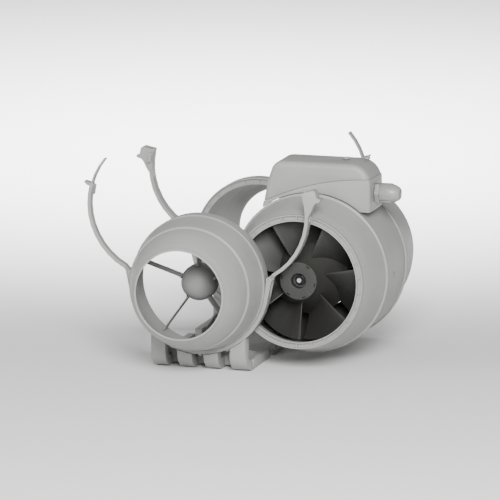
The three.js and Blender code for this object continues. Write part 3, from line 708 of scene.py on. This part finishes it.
gland_y = (box_front + box_back) / 2
gland_z = 86
saddle = bulge + 0.3
cavity = 3.0
under = 1000 * box_low[2] - unit_z
base = lofted_box("terminal_box_moulding", box_front, box_back, 3, under)
entry = turned("entry", [(0, box_right - 9), (8, box_right - 9), (8, box_right + 4),
                         (0, box_right + 4)], (unit_x, gland_y, unit_z + gland_z), 40, "x")
vent = turned("vent", [(0, box_right - 2), (1.3, box_right - 2), (1.3, box_right + 4),
                       (0, box_right + 4)], (unit_x, box_front + 8, unit_z + 96), 20, "x")
inner = lofted_box("inner", box_front + cavity, box_back - cavity, 2, 30, cavity)
carved(inner, barrel_tool("floor_tool", saddle + cavity))
carved(base, barrel_tool("saddle_tool", saddle), seam_tool("seam_low", 0, True), inner, entry,
       vent)
edge_softened(base, 0.35, 2, 40)
shade(base, 30)
finish_piece(base, light_abs, "fan_unit", "grey_plastic", "terminal_box")

cover = lofted_box("terminal_cover_moulding", box_front, box_back, 6, under)
inner = lofted_box("inner", box_front + cavity, box_back - cavity, 5, 30, cavity)
screw_places = []
for number in (1, 2):
    low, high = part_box(f"cover_screw_{number}")
    screw_places.append([500 * (low[i] + high[i]) for i in range(3)])
wells = [turned(f"well_{i}", [(0, 80), (1.9, 80), (1.9, 140), (0, 140)], (0, 0, 0), 24)
         for i in range(2)]
for well, (x, y, z) in zip(wells, screw_places):
    well.data.transform(Matrix.Translation((x / 1000, y / 1000, unit_z / 1000))
                        @ Matrix.Rotation(math.pi / 2, 4, "X"))
carved(cover, barrel_tool("saddle_tool", saddle), seam_tool("seam_high", 0.5, False), inner,
       *wells)
edge_softened(cover, 0.35, 2, 40)
shade(cover, 30)
finish_piece(cover, light_abs, "fan_unit", "grey_plastic", "terminal_cover")
for number in (1, 2):
    node = f"cover_screw_{number}"
    screw = rounded_copy(f"cover_pan_screw_{number}", node, 0.3)
    finish_piece(screw, light_abs, "fan_unit", "grey_plastic", node)

# Black nylon terminal strip and the run capacitor, out of sight inside the box.
black_nylon = moulded_plastic("black_moulded_nylon", "242424", "1d1d1d", 0.45, 1.0, 0.03)
for node in ("terminal_block", "run_capacitor"):
    piece = rounded_copy(node + "_nylon", node, 0.8)
    finish_piece(piece, black_nylon, "fan_unit", "black_plastic", node)

# ---- Cable gland --------------------------------------------------------------------
# A grey nylon gland: a hexagonal body against the box, a ribbed dome nut that squeezes a
# rubber seal on the cable, and a locknut inside the box.
gland_nylon = moulded_plastic("grey_moulded_nylon", "8b8b89", "80807e", 0.36, 0.8, 0.03)
face = 1000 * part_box("gland_body")[1][0] - 13 - unit_x
gland_centre = (unit_x, gland_y, unit_z + gland_z)
body_low = 1000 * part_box("gland_body")[0][0] - unit_x
body = turned("gland_body_nylon", rounded([
    (5.2, body_low), (7.7, body_low), (7.7, face), (9, face), (9, face + 5.4),
    (8.3, face + 5.4), (8.3, face + 13), (5.2, face + 13)], 0.4), gland_centre, 48, "x")
hexagon = turned("hexagon", rounded([(8.5, face), (11.4, face), (11.4, face + 5),
                                     (8.5, face + 5)], 0.6), gland_centre, 6, "x")
joined(body, hexagon)
shade(body, 30)
finish_piece(body, gland_nylon, "fan_unit", "gland_plastic", "gland_body")

nut_outline = [(8.6, face + 5.3), (10.1, face + 5.3), (10.3, face + 6), (10.3, face + 17.5),
               (9.7, face + 20), (8.5, face + 23), (7, face + 25.6), (5.8, face + 26.8),
               (5, face + 27), (5, face + 24.5), (7.4, face + 21), (8.6, face + 19)]
nut = turned("gland_dome_nut", nut_outline, gland_centre, 72, "x")
grip_ribs = 12
ribs = []
for i in range(grip_ribs):
    rib = block(f"nut_rib_{i}", (face + 5.8, -1.3, 9.2), (face + 17.6, 1.3, 10.9))
    rib.data.transform(Matrix.Translation([c / 1000 for c in gland_centre])
                       @ Matrix.Rotation(2 * math.pi * i / grip_ribs, 4, "X"))
    ribs.append(rib)
joined(nut, *ribs)
edge_softened(nut, 0.25, 2, 50)
shade(nut, 35)
finish_piece(nut, gland_nylon, "fan_unit", "gland_plastic", "gland_nut")

# The seal is soft black rubber, matt and slightly dusty.
seal_rubber = moulded_plastic("black_seal_rubber", "343434", "262626", 0.75, 0.7, 0.03)
seal = rounded_copy("gland_rubber_seal", "gland_seal", 0.3)
finish_piece(seal, seal_rubber, "fan_unit", "seal_rubber", "gland_seal")
locknut = rounded_copy("gland_inner_locknut", "gland_locknut", 0.3)
finish_piece(locknut, gland_nylon, "fan_unit", "gland_plastic", "gland_locknut")

# ---- Floor, light and camera --------------------------------------------------------
# A pale studio floor, two soft lamps on the fan, one on the floor behind, a long lens.
reach = 9000
floor = mesh_object("studio_floor", [(-reach, -reach, 0), (reach, -reach, 0), (reach, reach, 0),
                                     (-reach, reach, 0)], [(0, 1, 2, 3)])
floor.location.z = -0.0005
pale = bpy.data.materials.new("pale_studio_floor")
pale.use_nodes = True
floor_shader = pale.node_tree.nodes["Principled BSDF"]
floor_shader.inputs["Base Color"].default_value = linear("e2e2e2")
floor_shader.inputs["Roughness"].default_value = 0.9
floor.data.materials.append(pale)

world = bpy.data.worlds.new("studio")
bpy.context.scene.world = world
world.use_nodes = True
sky = world.node_tree.nodes["Background"]
sky.inputs["Color"].default_value = (1, 1, 1, 1)
sky.inputs["Strength"].default_value = 0.46


def soft_lamp(name, place, target, size, power, spread=180):
    """A square area lamp aimed at a point, its light kept within a spread in degrees."""
    data = bpy.data.lights.new(name, "AREA")
    data.size = size
    data.energy = power
    data.spread = math.radians(spread)
    lamp = bpy.data.objects.new(name, data)
    lamp.location = place
    lamp.rotation_euler = (Vector(target) - Vector(place)).to_track_quat("-Z", "Y").to_euler()
    bpy.context.scene.collection.objects.link(lamp)


middle = (0.05, -0.02, 0.1)
soft_lamp("key_lamp", (0.75, -1.9, 1.15), middle, 0.8, 92)
soft_lamp("fill_lamp", (-1.6, -1.4, 0.85), middle, 1.0, 20)
soft_lamp("backdrop_lamp", (-0.3, 0.85, 1.3), (-0.45, 1.5, 0), 1.2, 75, 100)

azimuth, elevation = math.radians(16.7), math.radians(11.2)
right = Vector((math.cos(azimuth), math.sin(azimuth), 0))
back = Vector((math.sin(azimuth) * math.cos(elevation), -math.cos(azimuth) * math.cos(elevation),
               math.sin(elevation)))
up = back.cross(right)
shoulder = Vector((0, throat[1] / 1000 + node_size("front_spigot")[1] / 2000 - 0.016,
                   throat[2] / 1000))
target = shoulder + right * 0.0557 + up * 0.0352
distance = 6.0
view_width = 0.535
camera_data = bpy.data.cameras.new("long_lens")
camera_data.sensor_width = 36
camera_data.lens = camera_data.sensor_width * distance / view_width
camera_data.clip_end = 60
camera = bpy.data.objects.new("camera", camera_data)
camera.location = target + back * distance
camera.rotation_euler = back.to_track_quat("Z", "Y").to_euler()
bpy.context.scene.collection.objects.link(camera)
bpy.context.scene.camera = camera
